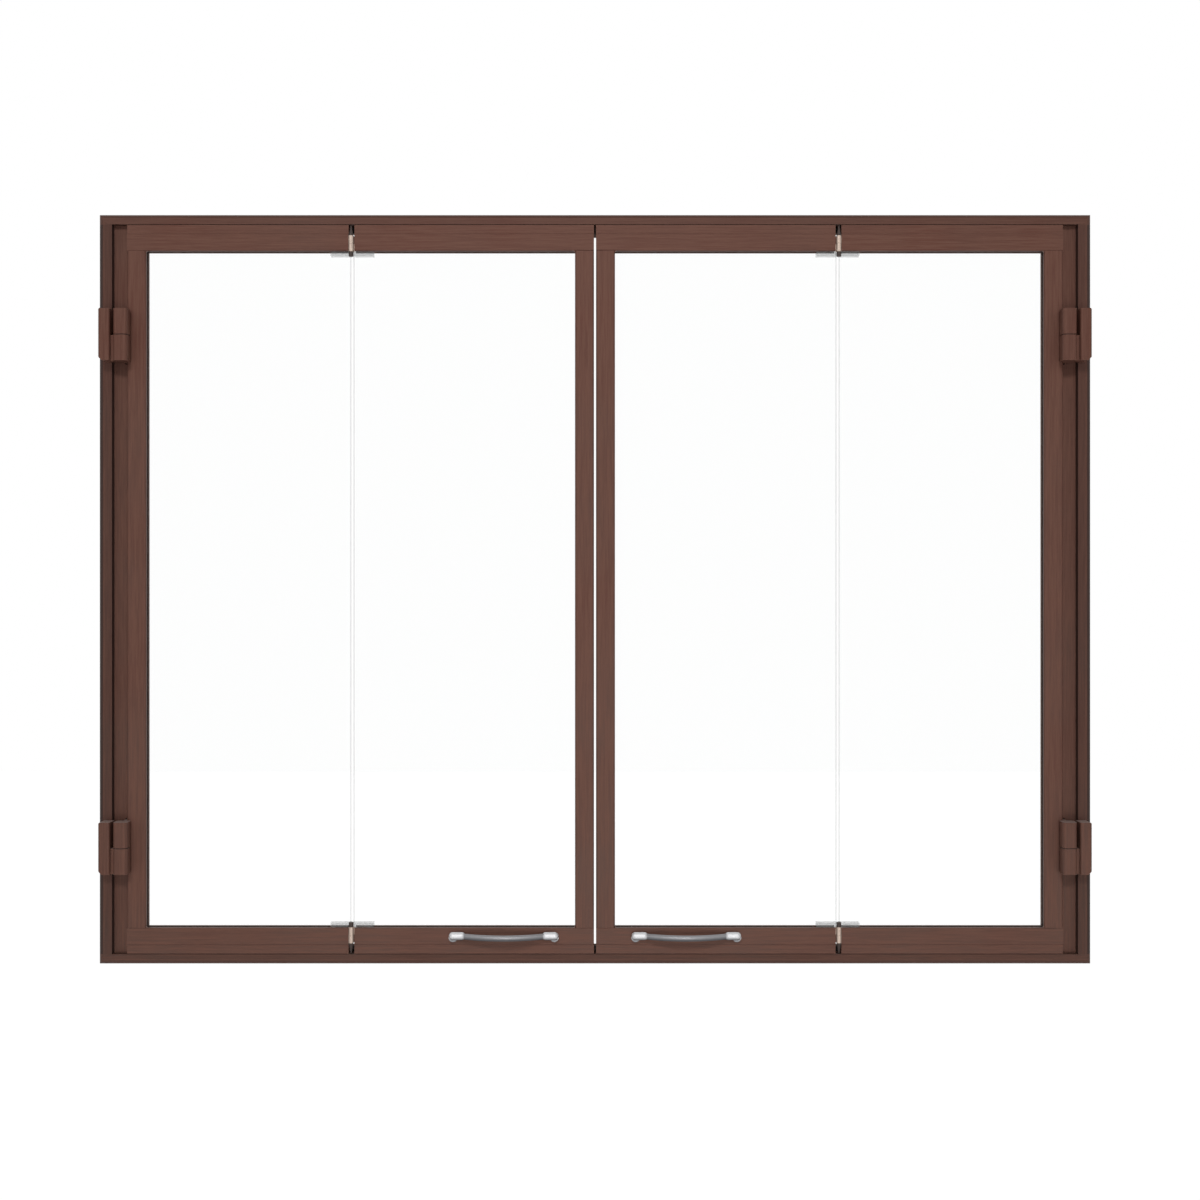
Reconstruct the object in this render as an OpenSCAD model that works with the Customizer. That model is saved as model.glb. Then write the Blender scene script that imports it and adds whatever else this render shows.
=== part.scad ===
// Fireplace glass door: a surface frame with two trackless folding doors.
// The mounting face is the plane y = 0, the front looks along -Y and +Z is up.
// Everything is drawn with y = 0 at the front face of the frame, for the right-hand side,
// with x as the distance out from the centre line; place() then moves it to its side.

/* [Frame] */
// Width over the frame
frame_w = 945; // [900:1:1000]
// Height over the frame
frame_h = 714; // [660:0.5:800]
// Depth from the front face to the mounting face
frame_depth = 20; // [20:0.5:24]
// Width of the front lip of a side bar
side_lip = 13.5; // [12:0.5:14]
// Width of the front lip of the top and bottom bars
cross_lip = 10; // [8:0.25:11]
// Wall thickness of the hollow lips
lip_wall = 2; // [1.6:0.1:2.2]
// Fall of the front lips towards the outside, in degrees
lip_fall = 12; // [0:1:14]
// Radius of the outer front edge of the side bars
side_round = 6; // [5:0.5:8]
// Radius of the outer front edge of the top and bottom bars
cross_round = 5; // [4:0.5:6]
// Depth of the ledge beside the doors, from the front face
side_ledge_y = 8; // [7:0.5:10]
// Thickness of the stop flanges and stop strips behind the doors
flange_t = 3; // [2.5:0.5:3.5]
// How far the side flanges reach in behind the doors
side_flange = 14; // [13:0.5:14]
// Height of the stop strips behind the rails
strip_h = 6; // [6:0.25:7]

/* [Doors] */
// Gap between the two doors at the centre
centre_gap = 2; // [2:0.5:5]
// Distance of the fold line from the centre
fold_x = 231.5; // [220:0.5:235]
// Gap between the rail ends at the fold
fold_gap = 5.6; // [5.6:0.1:6]
// Width of the open recess between side lip and door
side_recess = 14.2; // [14.2:0.1:15]
// Play between the cross lips and the door rails
door_play = 0.6; // [0.5:0.1:1.5]
// Play between the ledges and the doors
ledge_play = 0.8; // [0.6:0.1:1]
// Depth of the door bars
door_t = 13; // [13:0.25:13.5]
// Width of a stile
stile_w = 18; // [16.5:0.5:20]
// Width of the raised face of a rail
rail_face = 16.25; // [16:0.25:18]
// Width of the lower outer band of a rail
rail_band = 8.4; // [8:0.2:9]
// Step down from the raised face to the outer band
band_step = 1; // [0.5:0.25:2]
// Radius of the front edges of the door bars
bar_round = 2; // [1:0.25:2.5]
// Radius inside the corners of the daylight opening
corner_r = 2; // [1.5:0.5:6]

/* [Glass] */
// Thickness of the glass
glass_t = 5; // [4:0.5:5]
// How deep the glass sits in the bars
glass_bite = 5; // [4:0.25:5]
// Thickness of the liner around the glass
liner_t = 1; // [0.8:0.1:1.2]
// Front wall of the bars, ahead of the glass groove
groove_y = 3.5; // [3.5:0.1:3.8]
// Gap between the two panes at the fold
pane_gap = 3; // [2.5:0.25:4]

/* [Block hinges] */
// Height of a block hinge
block_h = 49; // [45:1:55]
// How far a block hinge stands out from the front face
block_out = 16; // [16:0.5:18]
// Height of the upper hinges above the middle
upper_hinge_z = 240; // [200:1:260]
// Depth of the lower hinges below the middle
lower_hinge_z = 244; // [200:1:260]
// Width of the knuckles
knuckle_w = 13.5; // [13:0.1:13.5]
// Radius of the knuckle edges away from the door
knuckle_round = 3.2; // [3.2:0.1:4]
// Radius of the knuckle edges beside the door
knuckle_back_round = 4; // [4:0.1:5]
// Width of the slot between leaf and upper knuckle
slot_w = 2.9; // [2.5:0.1:3]
// Width of the frame leaf
leaf_w = 10.9; // [10:0.1:11]
// Diameter of the hinge pin
pin_d = 6; // [5:0.5:6]
// Thickness of the bearing washer
washer_t = 0.8; // [0.6:0.1:1.2]
// Thickness of the plate screwed to the stile
arm_t = 3; // [2.5:0.25:3]
// Chamfer on the lower outer corner of the frame leaf
leaf_chamfer = 3.5; // [1:0.5:5]

/* [Fold hinges] */
// Diameter of the barrel
barrel_d = 5; // [4:0.25:5]
// Height of the barrel
barrel_h = 15; // [12:0.5:16]
// Thickness of the hinge leaves, which lie on the ends of the rails
fold_leaf_t = 1.2; // [1:0.1:1.3]
// Diameter of the fold pin
fold_pin_d = 2; // [1.5:0.1:2.5]
// Length of the head of the fold pin, beside the glass
fold_head = 4.5; // [2:0.5:6]
// Length of the pointed tip of the fold pin, towards the frame
fold_tip = 9.5; // [2:0.5:9.5]

/* [Handles] */
// Distance of the handle centre from the centre line
handle_x = 86.5; // [80:0.5:110]
// Spacing of the two handle posts
handle_span = 96; // [80:1:110]
// How far the middle of the bow stands out from the door
handle_out = 15; // [14:0.5:20]
// Diameter of the bow
bow_d = 5.5; // [5:0.5:7]
// Diameter of the posts
post_d = 8; // [7.5:0.5:9]
// Length of the thick end pieces of the bow
end_len = 16; // [12:1:20]
// Diameter of the end pieces
end_d = 7.5; // [7:0.5:8]

/* [Fixings] */
// Diameter of the screws in block hinges and handles
screw_d = 4; // [3.5:0.5:4]
// Diameter of the screws in the corners of the frame and in the catch
small_screw_d = 3; // [2.5:0.5:3]
// Diameter of the mounting holes
mount_d = 5.5; // [4.5:0.5:6]
// Distance of the mounting holes from the centre line
mount_x = 435; // [434.5:0.5:435]
// Height of the mounting holes from the middle
mount_z = 300; // [270:5:310]
// Running clearance on the radius of pins
running = 0.05; // [0.02:0.01:0.1]

/* [Hidden] */
$fn = 48;
eps = 0.1;
half_w = frame_w / 2;
half_h = frame_h / 2;
lip_in_x = half_w - side_lip;
lip_in_z = half_h - cross_lip;
flange_y = frame_depth - flange_t;
door_x = lip_in_x - side_recess;
flange_in_x = door_x - side_flange;
ledge_in_x = door_x + ledge_play;
rail_out_z = lip_in_z - door_play;
rail_step_z = rail_out_z - rail_band;
rail_in_z = rail_step_z - rail_face;
strip_in_z = lip_in_z - strip_h;
outer_len = door_x - fold_x - fold_gap / 2;
inner_len = fold_x - fold_gap / 2 - centre_gap / 2;
glass_y = groove_y + liner_t;
groove_w = glass_t + 2 * liner_t;
groove_d = glass_bite + liner_t;
glass_z = rail_in_z + glass_bite;
chamber_wall = 3;
band_wall = 2.2;
fillet_t = groove_y - 0.2;
axis_x = door_x + 2.1;
axis_y = -block_out / 2 - 0.5;
knuckle_back = 1;
knuckle_d = block_out - knuckle_back;
leaf_x = axis_x + knuckle_w / 2 + slot_w;
base_screw_inset = 3.5;
base_screw_x = leaf_x + leaf_w - base_screw_inset;
web_bite = 3;
web_front = 4;
web_depth = block_out - web_front - knuckle_back_round - 1;
arm_front = 0.3;
arm_back = door_t - 1;
pin_bore_end = block_h / 2 - 4;
pin_slack = 0.3;
washer_d = knuckle_w - 1.5;
washer_slack = 0.04;
barrel_y = -1.2;
barrel_low = rail_in_z - 1.2;
barrel_mid = barrel_low + barrel_h / 2;
barrel_play = 0.1;
fold_head_d = barrel_d - 0.6;
clip_len = 17.8;
clip_out = 4.3;
clip_t = 0.8;
liner_gap = 2;
leaf_front = 1.2;
leaf_slack = 0.3;
handle_z = -(rail_in_z + groove_d + screw_d / 2 + 0.3);
bow_r = (pow(handle_span / 2, 2) + pow(handle_out, 2)) / (2 * handle_out);
post_len = 5;
bow_rise = 1.5;
bow_half = handle_span / 2 - 7;
end_y = 4.5;
post_bite = 4;
screw_head = 2 * screw_d - 0.4;
small_head = 2 * small_screw_d - 0.4;
handle_head_h = 2.5;
hinge_screw_z = 16;
leaf_bite = 9;
frame_screw_len = frame_depth + leaf_bite;
arm_screw_len = 9;
port_x = half_w - side_lip / 2;
port_y = [0.46 * frame_depth, 0.78 * frame_depth];
port_boss = side_lip / 2 - lip_wall + eps;
strike_t = 0.8;
strike_h = 7;
catch_w = 50;
catch_y = door_t + strike_t + 0.3;
catch_h = 9;
catch_low = lip_in_z - 0.5 - catch_h;
magnet_d = 6;
magnet_t = 2;
magnet_x = 9;
magnet_z = catch_low + catch_h / 2;
catch_screw_x = 19;
catch_screw_z = strip_in_z + strip_h / 2;
catch_screw_len = frame_depth - catch_y - 0.5;
gasket_w = 5;
gasket_gap = 0.3;
gasket_t = flange_y - door_t - gasket_gap;
gasket_x = mount_x + mount_d / 2 + 1;
notch_play = 0.8;

// Colours

module bronze() { color([0.33, 0.24, 0.22]) children(); }
module dark_seal() { color([0.12, 0.12, 0.12]) children(); }
module steel() { color([0.62, 0.6, 0.58]) children(); }
module nickel() { color([0.45, 0.45, 0.46]) children(); }
module smoke() { color([0.55, 0.56, 0.56, 0.7]) children(); }
module clear_glass() { color([0.85, 0.9, 0.9, 0.25]) children(); }

// Placing

// Moves the front-face origin to the mounting face and mirrors for the left side.
module place(side = 1) {
    translate([0, -frame_depth, 0])
        if (side < 0) mirror([1, 0, 0]) children();
        else children();
}

// Turns a drawing upside down for the lower half.
module upright(up = 1) {
    if (up < 0) mirror([0, 0, 1]) children();
    else children();
}

// Panels are drawn from their stile (x = 0) towards the fold.
module outer_panel() { translate([door_x, 0, 0]) mirror([1, 0, 0]) children(); }
module inner_panel() { translate([centre_gap / 2, 0, 0]) children(); }

// Shapes

// Rectangle from the origin whose two edges at y = 0 are rounded.
module front_rounded(w, d, r) {
    translate([0, r]) square([w, d - r]);
    translate([r, 0]) square([w - 2 * r, r + eps]);
    for (x = [r, w - r]) translate([x, r]) circle(r);
}

// Extrudes a profile drawn as (y, z) along x.
module along_x(length) {
    rotate([90, 0, 90]) linear_extrude(length) children();
}

// Round hole or rod along +Y from the origin.
module rod_y(d, length) {
    rotate([-90, 0, 0]) cylinder(d = d, h = length);
}

// Countersunk screw along +Z with its head ending at z = length.
module flat_screw(d, head_d, length) {
    cylinder(d = d, h = length - eps);
    translate([0, 0, length - (head_d - d) / 2]) cylinder(d1 = d, d2 = head_d, h = (head_d - d) / 2);
}

// Room for that screw, larger by the running clearance.
module flat_screw_hole(d, head_d, length) {
    translate([0, 0, -running]) cylinder(d = d + 2 * running, h = length + eps);
    translate([0, 0, length - (head_d - d) / 2 - running])
        cylinder(d1 = d, d2 = head_d + 2 * running, h = (head_d - d) / 2 + running + 0.01);
}

// Frame

// Lip from x = 0 to w and y = 0 to d whose front falls away to a rounded outer corner.
module lip_shape(w, d, r) {
    flat_w = w - r;
    fall = tan(lip_fall) * flat_w;
    polygon([[0, 0], [flat_w, fall], [flat_w, d], [0, d]]);
    translate([flat_w, fall + r]) circle(r);
    translate([flat_w - eps, fall + r]) square([r + eps, d - fall - r]);
}

module side_bar_profile() {
    difference() {
        union() {
            translate([lip_in_x, 0]) lip_shape(side_lip, frame_depth, side_round);
            translate([ledge_in_x, side_ledge_y])
                square([lip_in_x - ledge_in_x + eps, frame_depth - side_ledge_y]);
            translate([flange_in_x, flange_y]) square([ledge_in_x - flange_in_x + eps, flange_t]);
        }
        difference() {
            translate([lip_in_x + lip_wall, lip_wall])
                lip_shape(side_lip - 2 * lip_wall, frame_depth - 2 * lip_wall, side_round - lip_wall);
            for (y = port_y) translate([port_x, y]) circle(port_boss);
        }
        translate([ledge_in_x + lip_wall, side_ledge_y + lip_wall])
            square([lip_in_x - ledge_in_x - lip_wall, flange_y - side_ledge_y - lip_wall]);
    }
}

// Screws through the cross bars into the ports of the side bars.
module at_corner_screws() {
    for (y = port_y) translate([port_x, y, half_h - frame_screw_len]) children();
}

// Screws through the side lip into the hinge leaf, heads at the mounting face.
module at_base_screws() {
    for (dz = [-hinge_screw_z, hinge_screw_z])
        translate([base_screw_x, -leaf_bite, dz]) rotate([-90, 0, 0]) children();
}

module at_hinge(up) { translate([0, 0, up > 0 ? upper_hinge_z : -lower_hinge_z]) children(); }

module side_bar(side) {
    bronze() place(side) difference() {
        linear_extrude(2 * lip_in_z, center = true) side_bar_profile();
        for (up = [1, -1]) {
            upright(up) at_corner_screws() cylinder(d = small_screw_d + 2 * running, h = frame_screw_len);
            at_hinge(up) at_base_screws() flat_screw_hole(screw_d, screw_head, frame_screw_len);
            // Notch in the ledge for the plate of the hinge arm.
            at_hinge(up) translate([ledge_in_x - eps, side_ledge_y - eps, -block_h / 2 - notch_play])
                cube([door_x + arm_t + notch_play - ledge_in_x, arm_back + notch_play - side_ledge_y,
                    block_h + 2 * notch_play]);
            translate([mount_x, flange_y - eps, up * mount_z]) rod_y(mount_d, flange_t + 2 * eps);
        }
    }
}

// Plan of the frame at full width with its rounded outer edges, shrunk by the given margin.
module frame_plan(margin) {
    translate([-lip_in_x, margin]) square([2 * lip_in_x, frame_depth - 2 * margin]);
    for (m = [0, 1]) mirror([m, 0]) translate([lip_in_x - eps, margin])
        lip_shape(side_lip + eps - margin, frame_depth - 2 * margin, side_round - margin);
}

// Body of a cross bar, shrunk by the given margin. Its front is level with the outer bands of the rails.
module cross_shape(margin) {
    intersection() {
        translate([-half_w, 0, 0]) along_x(frame_w)
            translate([band_step + margin, lip_in_z + margin]) mirror([1, -1])
                lip_shape(cross_lip - 2 * margin, frame_depth - band_step - 2 * margin, cross_round - margin);
        linear_extrude(half_h + 1) frame_plan(margin);
    }
}

module cross_bar(up) {
    bronze() place() upright(up) difference() {
        cross_shape(0);
        cross_shape(lip_wall);
        for (m = [0, 1]) mirror([m, 0, 0])
            at_corner_screws() flat_screw_hole(small_screw_d, small_head, frame_screw_len);
    }
}

// Strip behind the rails, welded to the cross bar and the side flanges.
module stop_strip(up) {
    bronze() place() upright(up) difference() {
        translate([-flange_in_x, flange_y, strip_in_z]) cube([2 * flange_in_x, flange_t, strip_h]);
        if (up > 0) at_catch_screws() flat_screw_hole(small_screw_d, small_head, catch_screw_len);
    }
}

module frame_screws() {
    steel() for (side = [1, -1], up = [1, -1]) place(side) {
        upright(up) at_corner_screws() flat_screw(small_screw_d, small_head, frame_screw_len);
        at_hinge(up) at_base_screws() flat_screw(screw_d, screw_head, frame_screw_len);
    }
    steel() place() at_catch_screws() flat_screw(small_screw_d, small_head, catch_screw_len);
}

module side_gaskets() {
    dark_seal() for (side = [1, -1]) place(side)
        translate([gasket_x, door_t + gasket_gap, -strip_in_z]) cube([gasket_w, gasket_t, 2 * strip_in_z]);
}

// The top gasket leaves room for the catch.
module gasket_cross(up) {
    middle = up > 0 ? catch_w / 2 + 2 : 0;
    dark_seal() place() upright(up) for (m = [0, 1]) mirror([m, 0, 0])
        translate([middle, door_t + gasket_gap, lip_in_z - (strip_h + gasket_w) / 2])
            cube([gasket_x - middle, gasket_t, gasket_w]);
}

// Block hinges

module knuckle_profile() {
    w = knuckle_w / 2;
    f = knuckle_round;
    b = knuckle_back_round;
    translate([axis_x, 0]) {
        translate([-w, -block_out + f]) square([knuckle_w, knuckle_d - f - b]);
        translate([-w + f, -block_out]) square([knuckle_w - 2 * f, knuckle_d / 2]);
        translate([-w + b, -block_out + knuckle_d / 2]) square([knuckle_w - 2 * b, knuckle_d / 2]);
        for (s = [-1, 1]) {
            translate([s * (w - f), -block_out + f]) circle(f);
            translate([s * (w - b), -knuckle_back - b]) circle(b);
        }
    }
}

// Frame leaf, whose back follows the rounded lip.
module leaf_profile() {
    difference() {
        translate([leaf_x, -block_out]) front_rounded(leaf_w, block_out + side_round / 2, bar_round);
        translate([leaf_x - eps, 0]) square([lip_in_x - leaf_x + eps, side_round]);
        translate([lip_in_x, 0]) lip_shape(side_lip, frame_depth, side_round);
    }
}

// 45 degree cut along an edge that runs along Y, with legs of the given length.
module edge_cut(leg) {
    rotate([0, 45, 0]) cube([leg * sqrt(2), 4 * block_out, leg * sqrt(2)], center = true);
}

module hinge_base(side, up) {
    half_block = block_h / 2;
    knuckle_h = (block_h - washer_t) / 2;
    bronze() place(side) at_hinge(up) difference() {
        union() {
            linear_extrude(block_h, center = true) leaf_profile();
            translate([0, 0, -half_block]) linear_extrude(knuckle_h) knuckle_profile();
            translate([axis_x + knuckle_w / 2 - web_bite, -block_out + web_front, -half_block])
                cube([slot_w + 2 * web_bite, web_depth, knuckle_h]);
        }
        translate([axis_x, axis_y, -pin_bore_end]) cylinder(d = pin_d + 2 * running, h = block_h);
        at_base_screws() cylinder(d = screw_d + 2 * running, h = frame_screw_len);
        translate([leaf_x + leaf_w, 0, -half_block]) edge_cut(leaf_chamfer);
        translate([leaf_x + leaf_w, 0, half_block]) edge_cut(leaf_chamfer / 3);
    }
}

module hinge_arm(side, up) {
    bronze() place(side) at_hinge(up) difference() {
        union() {
            translate([0, 0, washer_t / 2]) linear_extrude((block_h - washer_t) / 2) knuckle_profile();
            translate([door_x, arm_front, -block_h / 2]) cube([arm_t, arm_back - arm_front, block_h]);
            translate([door_x, -knuckle_back - 2, washer_t / 2])
                cube([arm_t, knuckle_back + 2 + arm_front + eps, (block_h - washer_t) / 2]);
        }
        translate([axis_x, axis_y, -block_h / 2])
            cylinder(d = pin_d + 2 * running, h = block_h / 2 + pin_bore_end);
        at_arm_screws() flat_screw_hole(screw_d, screw_head, arm_screw_len);
    }
}

// Screws through the arm plate into the stile, heads outwards.
module at_arm_screws() {
    for (dz = [-hinge_screw_z, hinge_screw_z])
        translate([door_x + arm_t - arm_screw_len, door_t / 2, dz]) rotate([0, 90, 0]) children();
}

module hinge_arm_screws(side) {
    steel() place(side) for (up = [1, -1])
        at_hinge(up) at_arm_screws() flat_screw(screw_d, screw_head, arm_screw_len);
}

module hinge_pins() {
    steel() for (side = [1, -1], up = [1, -1])
        place(side) at_hinge(up) translate([axis_x, axis_y, -pin_bore_end])
            cylinder(d = pin_d, h = 2 * pin_bore_end - pin_slack);
}

module hinge_washers() {
    steel() for (side = [1, -1], up = [1, -1])
        place(side) at_hinge(up) translate([axis_x, axis_y, 0]) difference() {
            cylinder(d = washer_d, h = washer_t - washer_slack, center = true);
            cylinder(d = pin_d + 2 * running, h = washer_t, center = true);
        }
}

// Door bars, drawn from the stile towards the fold

module stile_body() {
    linear_extrude(2 * rail_in_z, center = true) difference() {
        front_rounded(stile_w, door_t, bar_round);
        translate([stile_w - groove_d, groove_y]) square([groove_d + eps, groove_w]);
        translate([chamber_wall, chamber_wall])
            square([stile_w - groove_d - 2 * chamber_wall + 1, door_t - 2 * chamber_wall]);
    }
}

module rail_profile() {
    difference() {
        union() {
            translate([0, rail_in_z]) mirror([1, -1]) front_rounded(rail_face, door_t, bar_round / 2);
            translate([band_step, rail_step_z - bar_round])
                square([door_t - band_step, rail_band + bar_round]);
        }
        translate([groove_y, rail_in_z - eps]) square([groove_w, groove_d + eps]);
        translate([band_step + band_wall, rail_step_z])
            square([door_t - band_step - 2 * band_wall, rail_band - band_wall]);
    }
}

// The top rail of a panel of the given length, with its corner fillet.
module rail_body(length) {
    along_x(length) rail_profile();
    translate([stile_w, 0, rail_in_z]) rotate([-90, 0, 0]) linear_extrude(fillet_t)
        difference() {
            translate([0, -eps]) square([corner_r, corner_r + eps]);
            translate([corner_r, corner_r]) circle(corner_r);
        }
}

module pane_body(length) {
    translate([stile_w - glass_bite, glass_y, -glass_z])
        cube([length + (fold_gap - pane_gap) / 2 - stile_w + glass_bite, glass_t, 2 * glass_z]);
}

module glazing_body(length) {
    difference() {
        translate([stile_w - groove_d, groove_y, -rail_in_z - groove_d])
            cube([length - stile_w + groove_d, groove_w, 2 * (rail_in_z + groove_d)]);
        pane_body(length);
        translate([stile_w, -eps, -rail_in_z]) cube([length, door_t + 2 * eps, 2 * rail_in_z]);
        for (up = [1, -1]) upright(up)
            translate([length - clip_len - liner_gap, 0, rail_in_z - eps])
                cube([clip_len + liner_gap + 1, door_t, groove_d + 1]);
    }
}

// Silicone clip that caps the corner of the glass at the fold end of a rail.
module clip_body(length) {
    end = length + (fold_gap - pane_gap) / 2;
    difference() {
        translate([length - clip_len, groove_y, rail_in_z - clip_out])
            cube([end + clip_t - length + clip_len, groove_w, clip_out + groove_d]);
        translate([length - clip_len - eps, glass_y, rail_in_z - clip_out - eps])
            cube([end - length + clip_len + eps, glass_t, clip_out + glass_bite + eps]);
    }
}

module clips(length) {
    for (up = [1, -1]) upright(up) clip_body(length);
}

// Fold hinge leaf on the end of a rail, cut away for the glass groove.
// half = 1 carries the barrel half away from the glass, -1 the other.
module fold_leaf(length, half) {
    knuckle_len = barrel_h / 2 - barrel_play;
    knuckle_low = half > 0 ? barrel_mid + barrel_play : barrel_low;
    wide_low = rail_in_z + groove_d + leaf_slack;
    leaf_top = barrel_low + barrel_h;
    difference() {
        union() {
            translate([length, leaf_front, rail_in_z])
                cube([fold_leaf_t, groove_y - leaf_slack - leaf_front, leaf_top - rail_in_z]);
            translate([length, leaf_front, wide_low])
                cube([fold_leaf_t, door_t - 2 * leaf_front, leaf_top - wide_low]);
            translate([length, 0, knuckle_low]) cube([fold_gap / 2, leaf_front + eps, knuckle_len]);
            translate([length + fold_gap / 2, barrel_y, knuckle_low]) cylinder(d = barrel_d, h = knuckle_len);
        }
        translate([length + fold_gap / 2, barrel_y, knuckle_low - 1])
            cylinder(d = fold_pin_d + 2 * running, h = knuckle_len + 2);
    }
}

module fold_leaves(length, half) {
    for (up = [1, -1]) upright(up) fold_leaf(length, half);
}

// Pin with a head beside the glass and a pointed tip towards the frame.
module fold_pin(length) {
    translate([length + fold_gap / 2, barrel_y, barrel_low]) {
        translate([0, 0, -barrel_play - fold_head]) cylinder(d = fold_head_d, h = fold_head);
        translate([0, 0, -2 * barrel_play]) cylinder(d = fold_pin_d, h = barrel_h + 4 * barrel_play);
        translate([0, 0, barrel_h + barrel_play]) cylinder(d1 = fold_head_d, d2 = fold_pin_d / 2, h = fold_tip);
    }
}

// Handle on the inner panel, centred on its own x = 0: a bow between two thick end pieces.
module handle_body() {
    translate([0, 0, handle_z]) difference() {
        union() {
            for (m = [0, 1]) mirror([m, 0, 0]) {
                translate([handle_span / 2, -post_len, 0]) rod_y(post_d, post_len);
                translate([(handle_span + post_d - end_d) / 2, -end_y, bow_rise]) {
                    for (x = [0, end_d - end_len]) translate([x, 0, 0]) sphere(d = end_d);
                    rotate([0, -90, 0]) cylinder(d = end_d, h = end_len - end_d);
                }
            }
            intersection() {
                translate([0, bow_r - handle_out, bow_rise])
                    rotate([0, 0, 180]) rotate_extrude(angle = 180) translate([bow_r, 0]) circle(d = bow_d);
                translate([-bow_half, -2 * handle_out, -bow_d]) cube([2 * bow_half, 2 * handle_out, 2 * bow_d]);
            }
        }
        for (s = [-1, 1]) translate([s * handle_span / 2, -post_bite - 0.5, 0])
            rod_y(screw_d + 2 * running, post_bite + 1);
    }
}

module at_handle() { translate([handle_x - centre_gap / 2, 0, 0]) children(); }

module handle_screw_set() {
    for (s = [-1, 1]) translate([s * handle_span / 2, -post_bite, handle_z]) {
        rod_y(screw_d, post_bite + door_t + eps);
        translate([0, post_bite + door_t, 0]) rod_y(screw_head, handle_head_h);
    }
}

// Panel pieces

module stile(side, inner) {
    bronze() place(side)
        if (inner) inner_panel() stile_body();
        else difference() {
            outer_panel() stile_body();
            for (up = [1, -1]) at_hinge(up) at_arm_screws()
                cylinder(d = screw_d + 2 * running, h = arm_screw_len);
        }
}

module top_rail(side, inner) {
    bronze() place(side)
        if (inner) inner_panel() rail_body(inner_len);
        else outer_panel() rail_body(outer_len);
}

module bottom_rail(side, inner) {
    bronze() place(side)
        if (inner) inner_panel() difference() {
            upright(-1) rail_body(inner_len);
            at_handle() for (s = [-1, 1]) translate([s * handle_span / 2, -eps, handle_z])
                rod_y(screw_d + 2 * running, door_t + 2 * eps);
        }
        else outer_panel() upright(-1) rail_body(outer_len);
}

module glass(side, inner) {
    clear_glass() place(side)
        if (inner) inner_panel() pane_body(inner_len);
        else outer_panel() pane_body(outer_len);
}

module glazing(side, inner) {
    dark_seal() place(side)
        if (inner) inner_panel() glazing_body(inner_len);
        else outer_panel() glazing_body(outer_len);
}

module glass_clips(side, inner) {
    smoke() place(side)
        if (inner) inner_panel() clips(inner_len);
        else outer_panel() clips(outer_len);
}

module fold_hinge_leaves(side, inner) {
    steel() place(side)
        if (inner) inner_panel() fold_leaves(inner_len, -1);
        else outer_panel() fold_leaves(outer_len, 1);
}

module fold_pins(side) {
    steel() place(side) inner_panel() for (up = [1, -1]) upright(up) fold_pin(inner_len);
}

module handle(side) { nickel() place(side) inner_panel() at_handle() handle_body(); }
module handle_screws(side) { steel() place(side) inner_panel() at_handle() handle_screw_set(); }

// Catch at the top centre

module at_catch_screws() {
    for (x = [-catch_screw_x, catch_screw_x])
        translate([x, frame_depth - catch_screw_len, catch_screw_z]) rotate([-90, 0, 0]) children();
}

// Housing on the top stop strip.
module catch_housing() {
    dark_seal() place() difference() {
        translate([-catch_w / 2, catch_y, catch_low]) cube([catch_w, flange_y - catch_y, catch_h]);
        for (x = [-magnet_x, magnet_x]) translate([x, catch_y - eps, magnet_z])
            rod_y(magnet_d + 2 * running, magnet_t + eps);
        at_catch_screws() cylinder(d = small_screw_d + 2 * running, h = catch_screw_len);
    }
}

module catch_magnets() {
    steel() place() for (x = [-magnet_x, magnet_x])
        translate([x, catch_y, magnet_z]) rod_y(magnet_d, magnet_t);
}

// Steel strip on the back of the rail, in front of the magnet.
module strike(side) {
    steel() place(side) translate([centre_gap / 2 + 1, door_t, magnet_z - strike_h / 2])
        cube([catch_w / 2 - centre_gap / 2 - 2, strike_t, strike_h]);
}

// One line per node

cross_bar(1);  // frame_top_bar
cross_bar(-1);  // frame_bottom_bar
side_bar(-1);  // frame_left_bar
side_bar(1);  // frame_right_bar
stop_strip(1);  // stop_strip_top
stop_strip(-1);  // stop_strip_bottom
frame_screws();
gasket_cross(1);  // gasket_top
gasket_cross(-1);  // gasket_bottom
side_gaskets();
hinge_base(-1, 1);  // hinge_base_left_upper
hinge_base(-1, -1);  // hinge_base_left_lower
hinge_base(1, 1);  // hinge_base_right_upper
hinge_base(1, -1);  // hinge_base_right_lower
hinge_pins();
hinge_washers();
catch_housing();
catch_magnets();
stile(-1, false);  // left_outer_stile
top_rail(-1, false);  // left_outer_top_rail
bottom_rail(-1, false);  // left_outer_bottom_rail
glass(-1, false);  // left_outer_glass
glazing(-1, false);  // left_outer_glazing
glass_clips(-1, false);  // left_outer_clips
fold_hinge_leaves(-1, false);  // left_outer_fold_leaves
hinge_arm(-1, 1);  // left_hinge_arm_upper
hinge_arm(-1, -1);  // left_hinge_arm_lower
hinge_arm_screws(-1);  // left_hinge_arm_screws
stile(1, false);  // right_outer_stile
top_rail(1, false);  // right_outer_top_rail
bottom_rail(1, false);  // right_outer_bottom_rail
glass(1, false);  // right_outer_glass
glazing(1, false);  // right_outer_glazing
glass_clips(1, false);  // right_outer_clips
fold_hinge_leaves(1, false);  // right_outer_fold_leaves
hinge_arm(1, 1);  // right_hinge_arm_upper
hinge_arm(1, -1);  // right_hinge_arm_lower
hinge_arm_screws(1);  // right_hinge_arm_screws
stile(-1, true);  // left_inner_stile
top_rail(-1, true);  // left_inner_top_rail
bottom_rail(-1, true);  // left_inner_bottom_rail
glass(-1, true);  // left_inner_glass
glazing(-1, true);  // left_inner_glazing
glass_clips(-1, true);  // left_inner_clips
fold_hinge_leaves(-1, true);  // left_inner_fold_leaves
fold_pins(-1);  // left_fold_pins
handle(-1);  // left_handle
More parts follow.
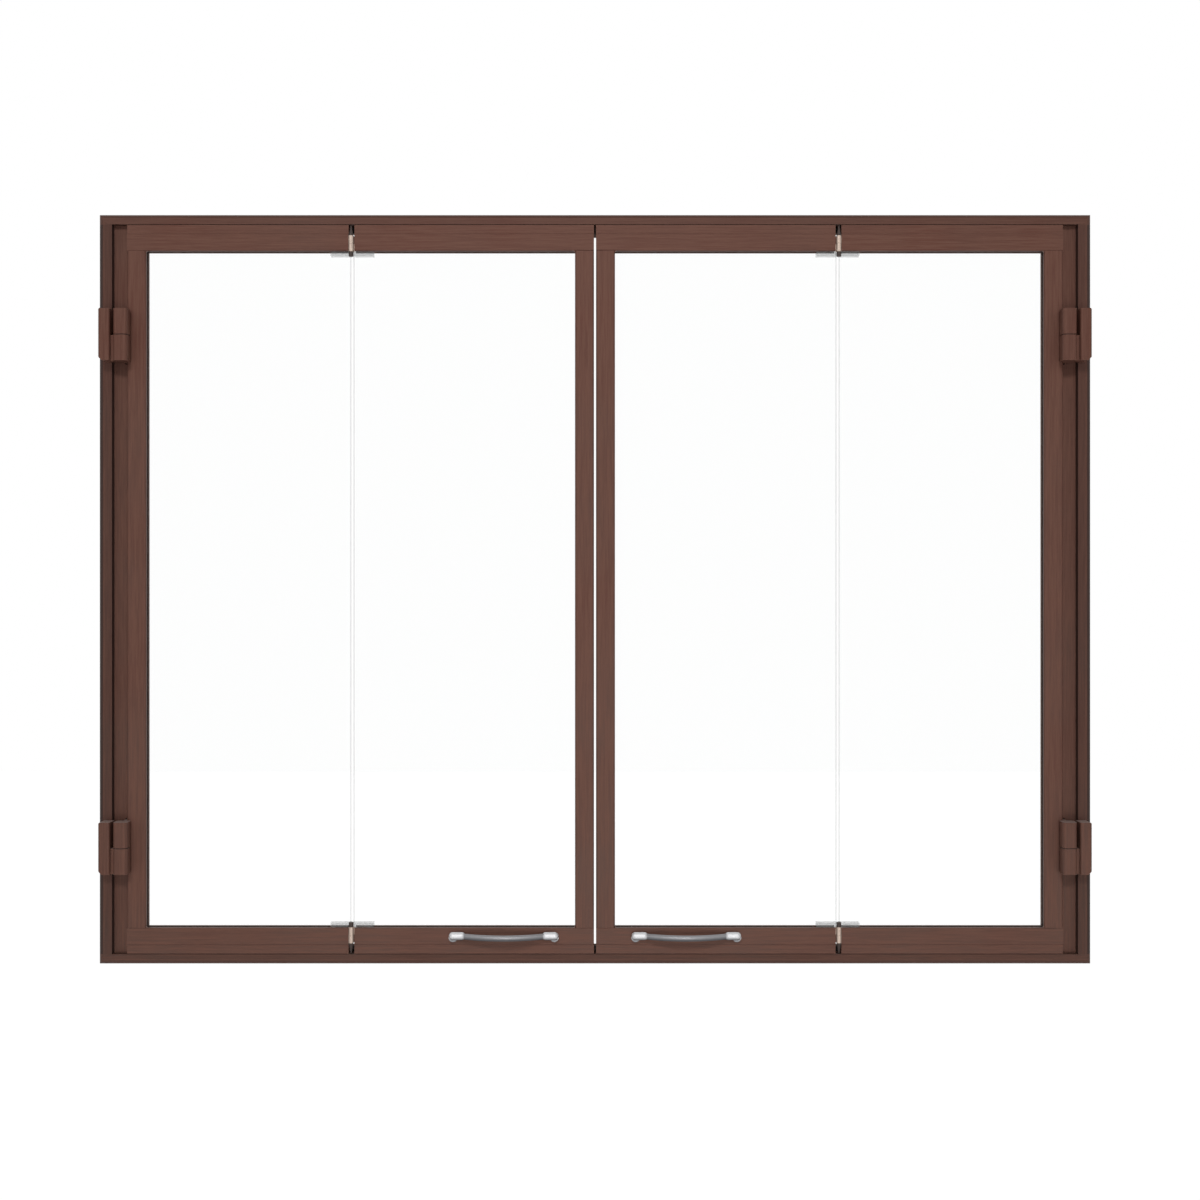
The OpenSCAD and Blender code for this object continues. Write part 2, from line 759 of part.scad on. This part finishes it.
handle_screws(-1);  // left_handle_screws
strike(-1);  // left_strike
stile(1, true);  // right_inner_stile
top_rail(1, true);  // right_inner_top_rail
bottom_rail(1, true);  // right_inner_bottom_rail
glass(1, true);  // right_inner_glass
glazing(1, true);  // right_inner_glazing
glass_clips(1, true);  // right_inner_clips
fold_hinge_leaves(1, true);  // right_inner_fold_leaves
fold_pins(1);  // right_fold_pins
handle(1);  // right_handle
handle_screws(1);  // right_handle_screws
strike(1);  // right_strike
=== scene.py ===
import math

import bpy
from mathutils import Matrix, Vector

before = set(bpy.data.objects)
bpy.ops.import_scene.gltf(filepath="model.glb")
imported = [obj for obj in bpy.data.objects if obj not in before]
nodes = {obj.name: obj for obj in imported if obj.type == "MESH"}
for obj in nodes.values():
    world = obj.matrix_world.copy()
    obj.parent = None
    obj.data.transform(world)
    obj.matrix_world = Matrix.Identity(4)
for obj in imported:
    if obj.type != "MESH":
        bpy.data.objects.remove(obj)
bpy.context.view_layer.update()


# Camera -------------------------------------------------------------------------------------

IMAGE = 1200.0  # pixels along each side of the photograph
PIXELS_PER_METRE = 1052.6  # at the front face of the frame
DISTANCE = 1.5  # metres from the camera to the front face
FRONT_Y = -0.020  # the front face in the row frame
AXIS_PIXEL = (595.0, 589.3)  # where the camera's axis meets the picture
SENSOR = 36.0  # millimetres


def add_camera():
    data = bpy.data.cameras.new("camera")
    data.sensor_width = SENSOR
    data.lens = SENSOR * PIXELS_PER_METRE * DISTANCE / IMAGE
    data.shift_x = (IMAGE / 2 - AXIS_PIXEL[0]) / IMAGE
    data.shift_y = -(IMAGE / 2 - AXIS_PIXEL[1]) / IMAGE
    camera = bpy.data.objects.new("camera", data)
    camera.location = (0, FRONT_Y - DISTANCE, 0)
    camera.rotation_euler = (math.radians(90), 0, 0)
    bpy.context.collection.objects.link(camera)
    bpy.context.scene.camera = camera


add_camera()

# Materials ----------------------------------------------------------------------------------


def scaled(colour, factor):
    return tuple(channel * factor for channel in colour)


def background_rays(tree):
    """1 for camera, glossy and transmission rays, which all see the same white background."""
    path = tree.nodes.new("ShaderNodeLightPath")
    seen = path.outputs["Is Camera Ray"]
    for ray in ("Is Glossy Ray", "Is Transmission Ray"):
        either = tree.nodes.new("ShaderNodeMath")
        either.operation = "MAXIMUM"
        tree.links.new(seen, either.inputs[0])
        tree.links.new(path.outputs[ray], either.inputs[1])
        seen = either.outputs["Value"]
    return seen


class Shader:
    """A node material with one Principled shader and helpers that add texture to it."""

    def __init__(self, name):
        self.material = bpy.data.materials.new(name)
        self.material.use_nodes = True
        self.tree = self.material.node_tree
        self.main = self.tree.nodes["Principled BSDF"]
        self.output = self.tree.nodes["Material Output"]
        self.coords = self.add("ShaderNodeTexCoord")

    def add(self, kind, **values):
        node = self.tree.nodes.new(kind)
        for key, value in values.items():
            setattr(node, key, value)
        return node

    def link(self, source, target):
        self.tree.links.new(source, target)

    def set(self, **values):
        """Sets inputs of the Principled shader to constants."""
        for key, value in values.items():
            self.main.inputs[key.replace("_", " ")].default_value = value

    def drive(self, **sockets):
        """Links sockets to inputs of the Principled shader."""
        for key, socket in sockets.items():
            self.link(socket, self.main.inputs[key.replace("_", " ")])

    def noise(self, stretch, scale, detail=3.0, rough=0.55):
        """Noise in metres of the object, stretched by a factor along each axis."""
        mapping = self.add("ShaderNodeMapping")
        mapping.inputs["Scale"].default_value = stretch
        texture = self.add("ShaderNodeTexNoise")
        texture.inputs["Scale"].default_value = scale
        texture.inputs["Detail"].default_value = detail
        texture.inputs["Roughness"].default_value = rough
        self.link(self.coords.outputs["Object"], mapping.inputs["Vector"])
        self.link(mapping.outputs["Vector"], texture.inputs["Vector"])
        return texture.outputs["Fac"]

    def spread(self, value, low, high, to_low, to_high):
        """Maps a value from one span onto another, clamped."""
        node = self.add("ShaderNodeMapRange")
        node.inputs["From Min"].default_value = low
        node.inputs["From Max"].default_value = high
        node.inputs["To Min"].default_value = to_low
        node.inputs["To Max"].default_value = to_high
        self.link(value, node.inputs["Value"])
        return node.outputs["Result"]

    def along(self, axis, low, high, to_low, to_high, source="Object"):
        """Maps the object's own coordinate, or its normal, along an axis."""
        split = self.add("ShaderNodeSeparateXYZ")
        self.link(self.coords.outputs[source], split.inputs["Vector"])
        return self.spread(split.outputs[axis], low, high, to_low, to_high)

    def combine(self, operation, first, second):
        """Adds, subtracts, multiplies or compares two values, clamped to 0 and 1."""
        node = self.add("ShaderNodeMath", operation=operation, use_clamp=True)
        self.link(first, node.inputs[0])
        self.link(second, node.inputs[1])
        return node.outputs["Value"]

    def blend(self, factor, first, second):
        """Mixes two colours, either of which may be a socket."""
        node = self.add("ShaderNodeMix", data_type="RGBA")
        self.link(factor, node.inputs["Factor"])
        for socket, colour in ((node.inputs[6], first), (node.inputs[7], second)):
            if isinstance(colour, tuple):
                socket.default_value = (*colour, 1)
            else:
                self.link(colour, socket)
        return node.outputs[2]

    def mottle(self, noise, first, second):
        """Mixes two colours by a noise, most of which lies between 0.3 and 0.7."""
        return self.blend(self.spread(noise, 0.3, 0.7, 0, 1), first, second)

    def bump(self, height, strength, distance):
        node = self.add("ShaderNodeBump")
        node.inputs["Strength"].default_value = strength
        node.inputs["Distance"].default_value = distance
        self.link(height, node.inputs["Height"])
        self.drive(Normal=node.outputs["Normal"])

    def edge(self, radius):
        """1 on edges and corners, 0 on flat faces."""
        bevel = self.add("ShaderNodeBevel", samples=4)
        bevel.inputs["Radius"].default_value = radius
        geometry = self.add("ShaderNodeNewGeometry")
        dot = self.add("ShaderNodeVectorMath", operation="DOT_PRODUCT")
        self.link(bevel.outputs["Normal"], dot.inputs[0])
        self.link(geometry.outputs["Normal"], dot.inputs[1])
        return self.spread(dot.outputs["Value"], 0.99, 0.8, 0.0, 1.0)

    def clear(self, colour):
        """A shader that lets light straight through."""
        node = self.add("ShaderNodeBsdfTransparent")
        node.inputs["Color"].default_value = (*colour, 1)
        return node.outputs["BSDF"]

    def surface(self, factor, first, second):
        """Shows a mix of two shaders."""
        node = self.add("ShaderNodeMixShader")
        self.link(factor, node.inputs["Fac"])
        self.link(first, node.inputs[1])
        self.link(second, node.inputs[2])
        self.link(node.outputs["Shader"], self.output.inputs["Surface"])


EVEN = (1, 1, 1)  # the same stretch along each axis
BRUSHED = {"x": (1, 26, 26), "z": (26, 26, 1)}  # stretch of the brush marks in the paint
RED, BROWN = (0.142, 0.055, 0.038), (0.136, 0.075, 0.058)  # bronze at the top and at the bottom; the greyer, lighter bottom is painted glare
BRIGHT, WORN = (0.188, 0.088, 0.063), (0.195, 0.103, 0.079)  # bronze in brush marks and on edges
# Colours of a painted highlight on tops, of painted shade off the front, and of painted shade under handles.
TOP_HIGHLIGHT, SHADE_COLOUR, UNDERSIDE_SHADE = (0.5, 0.41, 0.38), (0.022, 0.017, 0.017), (0.05, 0.052, 0.058)
HALF_HEIGHT = 0.35  # metres, half of the frame
WEAR = 0.0008  # metres, the width of worn edges
LEAF = (0.0048, 0.0042)  # metres behind the front of a barrel, between which its leaves end
HANDLE_END = (0.015, 0.0135)  # metres from the tip of a handle, between which its painted end highlight stops
END_HIGHLIGHT_FROM = (0.002, 0.005)  # metres above the underside of a handle, over which the painted highlight on its ends fades in


def bronze_paint(name, axis, tint=1.0, dust_and_highlight=0.0, slope_shade=0.0):
    """Dark reddish bronze paint, brushed along one axis. Painted highlight on tops, painted shade off the
    front.
    """
    s = Shader(name)
    s.set(Metallic=0.12, IOR=1.25)
    grain = s.noise(BRUSHED[axis], 26, 4.0, 0.7)
    cloud = s.noise(EVEN, 9, 2.0)
    red, brown, bright, worn = (scaled(colour, tint) for colour in (RED, BROWN, BRIGHT, WORN))
    # Redder towards the top, greyer towards the bottom, over a random cloud: the greyer bottom is painted
    # glare.
    height = s.along("Z", -HALF_HEIGHT, HALF_HEIGHT, 0, 0.5)
    base = s.blend(s.combine("ADD", s.spread(cloud, 0.35, 0.65, 0, 0.5), height), brown, red)
    streaked = s.blend(s.spread(grain, 0.38, 0.62, 0, 0.9), base, bright)
    edged = s.blend(s.spread(s.edge(WEAR), 0, 1, 0, 0.5), streaked, worn)
    # Painted shade: darker on faces that don't face the front, such as the sloping lips of the frame.
    shaded = s.blend(s.along("Y", -1, -0.94, 0, slope_shade, "Normal"), edged, SHADE_COLOUR)
    # Painted highlight: pale on faces turned up, where the light from above catches the tops.
    highlighted = s.blend(s.along("Z", 0.8, 0.95, 0, dust_and_highlight, "Normal"), shaded, TOP_HIGHLIGHT)
    s.drive(Base_Color=highlighted, Roughness=s.spread(grain, 0.2, 0.8, 0.42, 0.58))
    s.bump(grain, 0.12, 0.0004)
    return s.material


def plated_steel(name, colour, rough=0.34, metallic=1.0):
    """Plated or blackened steel with fine scratches."""
    s = Shader(name)
    s.set(Metallic=metallic)
    scratch = s.noise((120, 14, 14), 30, 5.0, 0.7)
    s.drive(Base_Color=s.mottle(scratch, scaled(colour, 0.72), colour),
            Roughness=s.spread(scratch, 0.25, 0.75, rough - 0.08, rough + 0.12))
    s.bump(scratch, 0.08, 0.0002)
    return s.material


def barrel_steel(name, front):
    """Bright rolled barrel, whose front lies at the given y, on leaves painted with the doors."""
    s = Shader(name)
    scratch = s.noise((14, 14, 120), 30, 4.0, 0.7)
    bright = s.along("Y", front + LEAF[0], front + LEAF[1], 0, 1)
    steel = s.mottle(scratch, (0.36, 0.28, 0.235), (0.52, 0.42, 0.35))
    s.drive(Base_Color=s.blend(bright, BROWN, steel), Metallic=s.spread(bright, 0, 1, 0.0, 0.9),
            Roughness=s.spread(scratch, 0.25, 0.75, 0.36, 0.5))
    s.bump(scratch, 0.08, 0.0002)
    return s.material


def handle_nickel(name, left, right, low):
    """Satin nickel from left to right: pewter, with painted shade on faces turned down and a painted
    highlight on the tops of its ends.
    """
    s = Shader(name)
    s.set(Metallic=1.0)
    scratch = s.noise((14, 120, 120), 20, 4.0, 0.7)
    ends = s.combine("ADD", s.along("X", left + HANDLE_END[0], left + HANDLE_END[1], 0, 1),
                     s.along("X", right - HANDLE_END[0], right - HANDLE_END[1], 0, 1))
    # Painted highlight on the tops of the ends.
    end_highlight = s.combine("MULTIPLY", ends, s.along("Z", low + END_HIGHLIGHT_FROM[0], low + END_HIGHLIGHT_FROM[1], 0, 1))
    pewter = s.mottle(scratch, (0.2, 0.197, 0.203), (0.3, 0.296, 0.305))
    # Painted shade on faces turned down.
    shaded_below = s.blend(s.along("Z", -0.6, 0.5, 0.8, 0, "Normal"), pewter, UNDERSIDE_SHADE)
    rough = s.combine("ADD", s.spread(scratch, 0.25, 0.75, 0.4, 0.5), s.spread(end_highlight, 0, 1, 0, 0.12))
    s.drive(Base_Color=s.blend(end_highlight, shaded_below, (0.58, 0.58, 0.59)), Roughness=rough)
    s.bump(scratch, 0.08, 0.0002)
    return s.material


def woven_tape(name, colour):
    """Flat woven gasket tape."""
    s = Shader(name)
    s.set(Roughness=0.95)
    weave = s.add("ShaderNodeTexWave", wave_type="BANDS", bands_direction="DIAGONAL")
    weave.inputs["Scale"].default_value = 420
    weave.inputs["Distortion"].default_value = 1.5
    s.link(s.coords.outputs["Object"], weave.inputs["Vector"])
    fuzz = s.noise(EVEN, 900)
    s.drive(Base_Color=s.blend(s.spread(fuzz, 0.3, 0.7, 0, 0.6), colour, scaled(colour, 1.9)))
    s.bump(weave.outputs["Fac"], 0.6, 0.0005)
    return s.material


def brown_rubber(name):
    """Glazing liner, dusty in places."""
    s = Shader(name)
    dust_and_highlight = s.noise(EVEN, 60, 4.0)
    colour = s.blend(s.spread(dust_and_highlight, 0.35, 0.7, 0, 1), (0.06, 0.034, 0.027), (0.1, 0.062, 0.052))
    s.drive(Base_Color=colour, Roughness=s.spread(dust_and_highlight, 0.3, 0.7, 0.7, 0.9))
    s.bump(dust_and_highlight, 0.1, 0.0003)
    return s.material


def clear_glass(name):
    """Clear tempered glass: faint reflection and streaks on the faces, pale ground edges."""
    s = Shader(name)
    s.set(IOR=1.45, Base_Color=(0.88, 0.91, 0.9, 1))
    streak = s.noise((3, 3, 0.6), 5)
    s.drive(Roughness=s.spread(streak, 0.4, 0.7, 0.04, 0.1))
    split = s.add("ShaderNodeSeparateXYZ")
    s.link(s.coords.outputs["Normal"], split.inputs["Vector"])
    facing = s.add("ShaderNodeMath", operation="ABSOLUTE")
    s.link(split.outputs["Y"], facing.inputs[0])
    solid = s.spread(facing.outputs["Value"], 0.3, 0.95, 0.8, 0.01)
    path = s.add("ShaderNodeLightPath")
    lighting = s.combine("MAXIMUM", path.outputs["Is Shadow Ray"], path.outputs["Is Diffuse Ray"])
    s.surface(s.combine("SUBTRACT", solid, lighting), s.clear((0.997, 0.999, 0.998)), s.main.outputs["BSDF"])
    return s.material


def silicone(name, colour):
    """Smoke-grey silicone that lets most of the light through."""
    s = Shader(name)
    haze = s.noise(EVEN, 300)
    s.drive(Base_Color=s.mottle(haze, colour, scaled(colour, 1.2)),
            Roughness=s.spread(haze, 0.3, 0.7, 0.45, 0.65))
    s.surface(s.spread(haze, 0.3, 0.7, 0.15, 0.2), s.clear((0.95, 0.95, 0.95)), s.main.outputs["BSDF"])
    s.bump(haze, 0.1, 0.0002)
    return s.material


def moulded_plastic(name, colour):
    """Heat-resisting plastic with a fine grain."""
    s = Shader(name)
    grain = s.noise(EVEN, 700, 4.0)
    s.drive(Base_Color=s.mottle(grain, colour, scaled(colour, 1.3)),
            Roughness=s.spread(grain, 0.3, 0.7, 0.5, 0.66))
    s.bump(grain, 0.15, 0.0002)
    return s.material


FINISHES = {
    "bronze_x": bronze_paint("bronze_across", "x"),
    "bronze_z": bronze_paint("bronze_upright", "z"),
    # The hinge blocks carry a painted highlight on their tops.
    "bronze_block": bronze_paint("bronze_block", "z", tint=0.95, dust_and_highlight=0.5),
    # The frame bars take darker copies of the bronze as painted shade, besides the painted shade on their
    # lips.
    "bronze_cross": bronze_paint("bronze_cross_bar", "x", tint=0.9, slope_shade=0.28),
    "bronze_side": bronze_paint("bronze_side_bar", "z", tint=0.92, slope_shade=0.75),
    "glass": clear_glass("clear_glass"),
    "tape": woven_tape("gasket_tape", (0.03, 0.028, 0.026)),
    "rubber": brown_rubber("liner_rubber"),
    "zinc": plated_steel("zinc_plate", (0.62, 0.6, 0.57)),
    "dark_pin": plated_steel("blackened_steel", (0.06, 0.04, 0.034), rough=0.55, metallic=0.3),
    "clip": silicone("clip_silicone", (0.6, 0.61, 0.61)),
    "plastic": moulded_plastic("catch_plastic", (0.075, 0.045, 0.036)),
}
PAINT_RADIUS = 0.00025  # metres, on the edges of painted pieces
GLASS_RADIUS = 0.0005  # metres, on the edges of the panes


def finish_of(name):
    """The finish that each CAD node has in the photograph."""
    if name.endswith("glass"):
        return "glass"
    if "gasket" in name:
        return "tape"
    if name.endswith("glazing"):
        return "rubber"
    if name.endswith(("top_bar", "bottom_bar")):
        return "bronze_cross"
    if name.endswith("rail") or name.startswith("stop_strip"):
        return "bronze_x"
    if name.endswith(("left_bar", "right_bar")):
        return "bronze_side"
    if name.endswith("stile"):
        return "bronze_z"
    if name.endswith("handle"):
        return "nickel"
    if name.endswith("fold_leaves"):
        return "barrel"
    if name.endswith("fold_pins") or name == "hinge_washers":
        return "dark_pin"
    if name.endswith("clips"):
        return "clip"
    if name == "catch_housing":
        return "plastic"
    if name.startswith("hinge_base") or "hinge_arm" in name and not name.endswith("screws"):
        return "bronze_block"
    return "zinc"


def material_of(name, obj, finish):
    """The node's material. Barrels and handles are coloured by place, so that each has its own."""
    if finish == "barrel":
        return barrel_steel("barrel_of_" + name, min(corner[1] for corner in obj.bound_box))
    if finish == "nickel":
        low, high = map(Vector, (obj.bound_box[0], obj.bound_box[6]))
        return handle_nickel("nickel_of_" + name, low.x, high.x, low.z)
    return FINISHES[finish]


def soften(obj, radius):
    """A small radius on the edges, as paint and grinding leave."""
    bevel = obj.modifiers.new("edges", "BEVEL")
    bevel.width = radius
    bevel.segments = 2
    bevel.limit_method = "ANGLE"
    bevel.angle_limit = math.radians(50)


for name, obj in nodes.items():
    finish = finish_of(name)
    obj.data.materials.clear()
    obj.data.materials.append(material_of(name, obj, finish))
    if finish.startswith("bronze"):
        soften(obj, PAINT_RADIUS)
    elif finish == "glass":
        soften(obj, GLASS_RADIUS)

# Light and surroundings ---------------------------------------------------------------------

FLOOR_HALF, FLOOR_Z = 8.0, -1.1  # metres
FLOOR_GLOW, FLOOR_GLOW_SHARE = 1.1, 0.92  # the rest shows the object's shadow
WORLD_FRONT, WORLD_BACK = 0.14, 0.5  # strength as a light
LAMPS = {  # place in metres, size in metres, watts
    "key": ((-0.2, -4.0, 2.3), (1.2, 0.6), 55),
    "front": ((0.1, -2.4, -0.6), (1.4, 0.8), 10),
    "side_left": ((-2.2, -0.9, 0.8), (0.3, 1.0), 2),
    "side_right": ((2.2, -0.9, 0.8), (0.3, 1.0), 2),
}


def add_floor():
    mesh = bpy.data.meshes.new("floor")
    corners = [(x * FLOOR_HALF, y * FLOOR_HALF, FLOOR_Z) for x, y in ((-1, -1), (1, -1), (1, 1), (-1, 1))]
    mesh.from_pydata(corners, [], [(0, 1, 2, 3)])
    floor = bpy.data.objects.new("floor", mesh)
    bpy.context.collection.objects.link(floor)
    s = Shader("floor_paper")
    s.set(Roughness=0.9, Base_Color=(0.62, 0.62, 0.62, 1))
    glow = s.add("ShaderNodeEmission")
    glow.inputs["Strength"].default_value = FLOOR_GLOW
    share = s.spread(background_rays(s.tree), 0, 1, 0, FLOOR_GLOW_SHARE)
    s.surface(share, s.main.outputs["BSDF"], glow.outputs["Emission"])
    floor.data.materials.append(s.material)


def add_world():
    """White to the rays that see the background. As a light, dim in front and brighter behind."""
    world = bpy.data.worlds.new("studio")
    bpy.context.scene.world = world
    world.use_nodes = True
    tree = world.node_tree
    background = tree.nodes["Background"]
    background.inputs["Color"].default_value = (1, 1, 1, 1)
    coords = tree.nodes.new("ShaderNodeTexCoord")
    split = tree.nodes.new("ShaderNodeSeparateXYZ")
    tree.links.new(coords.outputs["Generated"], split.inputs["Vector"])
    level = tree.nodes.new("ShaderNodeMapRange")
    level.inputs["From Min"].default_value = -0.1
    level.inputs["From Max"].default_value = 0.5
    level.inputs["To Min"].default_value = WORLD_FRONT
    level.inputs["To Max"].default_value = WORLD_BACK
    tree.links.new(split.outputs["Y"], level.inputs["Value"])
    strength = tree.nodes.new("ShaderNodeMath")
    strength.operation = "MAXIMUM"
    tree.links.new(background_rays(tree), strength.inputs[0])
    tree.links.new(level.outputs["Result"], strength.inputs[1])
    tree.links.new(strength.outputs["Value"], background.inputs["Strength"])


def add_lamp(name, place, size, watts):
    """A rectangular lamp that points at the middle of the object."""
    data = bpy.data.lights.new(name, "AREA")
    data.shape = "RECTANGLE"
    data.size, data.size_y = size
    data.energy = watts
    lamp = bpy.data.objects.new(name, data)
    lamp.location = place
    lamp.rotation_euler = (-Vector(place)).to_track_quat("-Z", "Y").to_euler()
    bpy.context.collection.objects.link(lamp)


add_floor()
add_world()
for name, (place, size, watts) in LAMPS.items():
    add_lamp(name, place, size, watts)

bpy.context.scene.view_settings.view_transform = "Standard"
